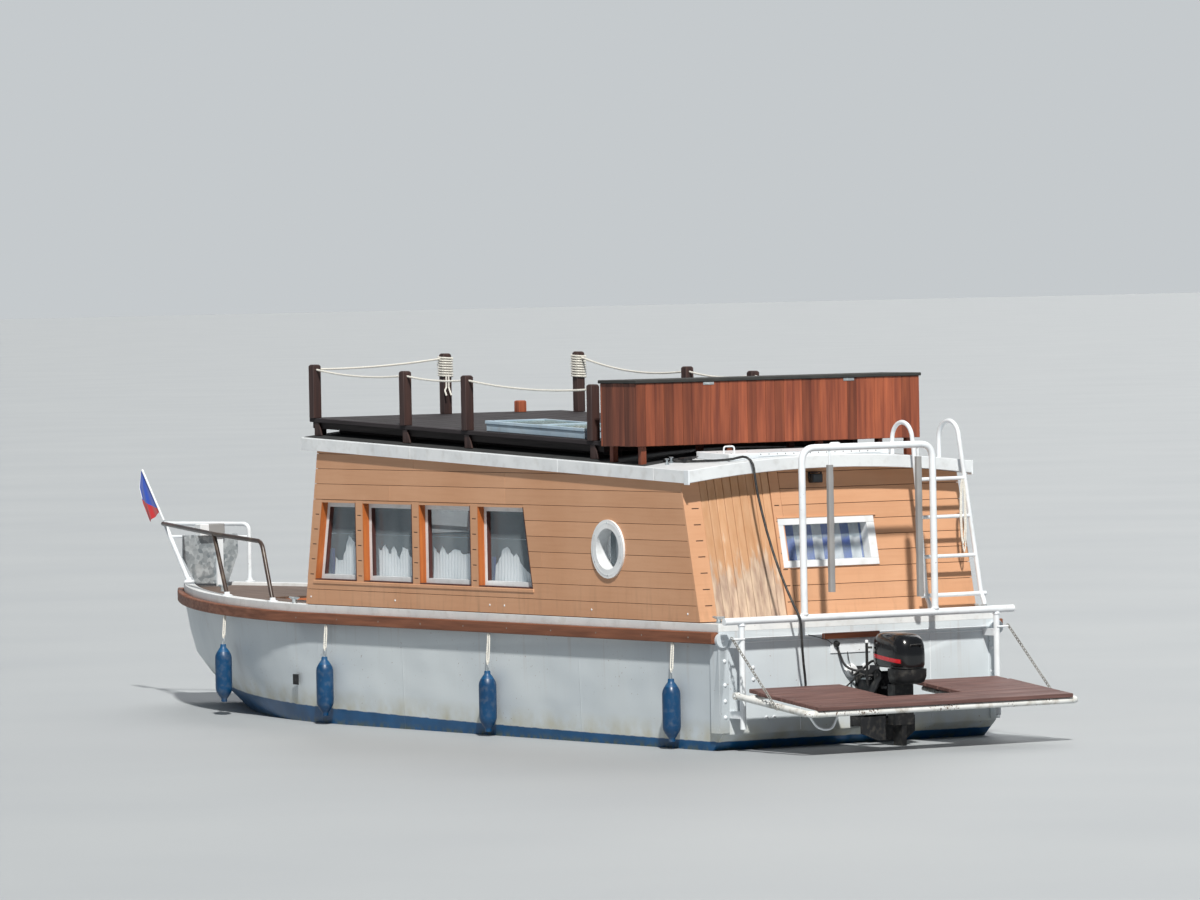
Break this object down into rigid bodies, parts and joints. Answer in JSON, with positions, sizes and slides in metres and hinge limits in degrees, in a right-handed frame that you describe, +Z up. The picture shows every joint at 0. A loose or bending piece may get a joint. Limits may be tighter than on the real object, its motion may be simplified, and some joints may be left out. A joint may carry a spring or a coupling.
{
  "type": "houseboat",
  "caption": "Steel-hulled houseboat with a boarded timber cabin, roof deck, swim platform and outboard motor, afloat.",
  "frame": {"origin": "on the waterline plane, on the centreline, at the foot of the transom face", "axes": "+X to the bow, +Y to port, +Z up"},
  "size_m": [11.356, 2.694, 3.3126],
  "materials": {
    "bar_wood": "reddish stain",
    "board_brown": "brown boards",
    "chain_steel": "galvanised",
    "curtain": "net",
    "deck_brown": "dark brown stain",
    "deck_grey_brown": "weathered",
    "fender_blue": "blue vinyl",
    "flag_cloth": "cloth",
    "frame_white": "painted",
    "galvanised": "galvanised sheet",
    "glass": "clear",
    "hose_black": "smooth hose",
    "lid_grey": "matt grey",
    "motor_black": "gloss black",
    "motor_grey": "dark grey",
    "orange_wood": "varnished",
    "roof_white": "painted",
    "rope": "laid rope",
    "rub_brown": "brown stain, worn",
    "siding": "painted boards",
    "sleeve_grey": "foam sleeve",
    "upholstery": "woven",
    "white_paint": "weathered gloss paint"
  },
  "bodies": {
    "hull": {"hull": "white_paint", "side_deck": "white_paint", "foredeck": "deck_grey_brown", "bow_well": "orange_wood", "rub_rail": "rub_brown", "roof": "roof_white", "roof_panel": "roof_white", "wall_port": "siding", "wall_stbd": "siding", "wall_aft": "siding", "wall_front": "siding", "window_frames_port": "frame_white", "window_frames_stbd": "frame_white", "window_frame_aft": "frame_white", "glass_port": "glass", "glass_stbd": "glass", "glass_aft": "glass", "curtain_port": "curtain", "curtain_stbd": "curtain", "curtain_aft": "curtain", "cabin_floor": "deck_grey_brown", "settee": "upholstery", "galley_unit": "orange_wood", "roof_deck": "deck_brown", "roof_deck_frame": "deck_brown", "skylight_frame": "roof_white", "bar_box": "bar_wood", "stern_rail": "white_paint", "sleeve_port": "sleeve_grey", "sleeve_stbd": "sleeve_grey", "ladder": "white_paint", "motor_bracket": "motor_grey", "pulpit": "white_paint", "side_rail_stbd": "white_paint", "bow_shield": "galvanised", "rope_rail": "rope", "hose": "hose_black", "lamp": "motor_black", "flagstaff": "white_paint", "flag": "flag_cloth", "fender_port_1": "fender_blue", "fender_port_2": "fender_blue", "fender_port_3": "fender_blue", "fender_port_4": "fender_blue", "fender_stbd_1": "fender_blue", "fender_stbd_2": "fender_blue"},
    "door": {"door": "orange_wood", "door_glass": "glass"},
    "skylight_lid": {"skylight_lid": "glass"},
    "bar_lid": {"bar_lid": "lid_grey"},
    "platform": {"platform_frame": "white_paint", "platform_boards": "board_brown"},
    "chain_port": {"chain_port": "chain_steel"},
    "chain_stbd": {"chain_stbd": "chain_steel"},
    "motor_swivel": {"motor_swivel": "motor_grey"},
    "motor": {"motor_leg": "motor_black", "motor_cowl": "motor_black"},
    "propeller": {"propeller": "motor_black"}
  },
  "joints": [
    {"name": "door_swing", "type": "hinge", "parent": "hull", "child": "door", "pos_m": [5.57128, 0.327, 1.35], "axis": [-0.1733, 0, 0.9849], "range_deg": [0, 110]},
    {"name": "skylight_lift", "type": "hinge", "parent": "hull", "child": "skylight_lid", "pos_m": [2.565, 0.545, 2.27718], "axis": [0.9993, 0, 0.0366], "range_deg": [0, 75]},
    {"name": "bar_lid_lift", "type": "hinge", "parent": "hull", "child": "bar_lid", "pos_m": [1.442, 0, 2.6083], "axis": [0, 1, 0], "range_deg": [0, 80]},
    {"name": "platform_fold", "type": "hinge", "parent": "hull", "child": "platform", "pos_m": [-0.14, 0, 0.398], "axis": [0, 1, 0], "range_deg": [0, 55]},
    {"name": "chain_port_swing", "type": "hinge", "parent": "hull", "child": "chain_port", "pos_m": [-0.16, 1.205, 0.8], "axis": [0, -1, 0], "range_deg": [0, 48]},
    {"name": "chain_stbd_swing", "type": "hinge", "parent": "hull", "child": "chain_stbd", "pos_m": [-0.16, -1.205, 0.8], "axis": [0, -1, 0], "range_deg": [0, 48]},
    {"name": "motor_tilt", "type": "hinge", "parent": "hull", "child": "motor_swivel", "pos_m": [-0.26, -0.06, 0.5], "axis": [0, 1, 0], "range_deg": [0, 35]},
    {"name": "motor_steer", "type": "hinge", "parent": "motor_swivel", "child": "motor", "pos_m": [-0.33, -0.06, 0.3], "axis": [0, 0, 1], "range_deg": [-30, 30]},
    {"name": "propeller_spin", "type": "hinge", "parent": "motor", "child": "propeller", "pos_m": [-0.535, -0.06, -0.36], "axis": [1, 0, 0], "continuous": true}
  ],
  "couplings": [
    {"joint": "chain_port_swing", "follows": "platform_fold", "ratio": 0.87},
    {"joint": "chain_stbd_swing", "follows": "platform_fold", "ratio": 0.87}
  ]
}
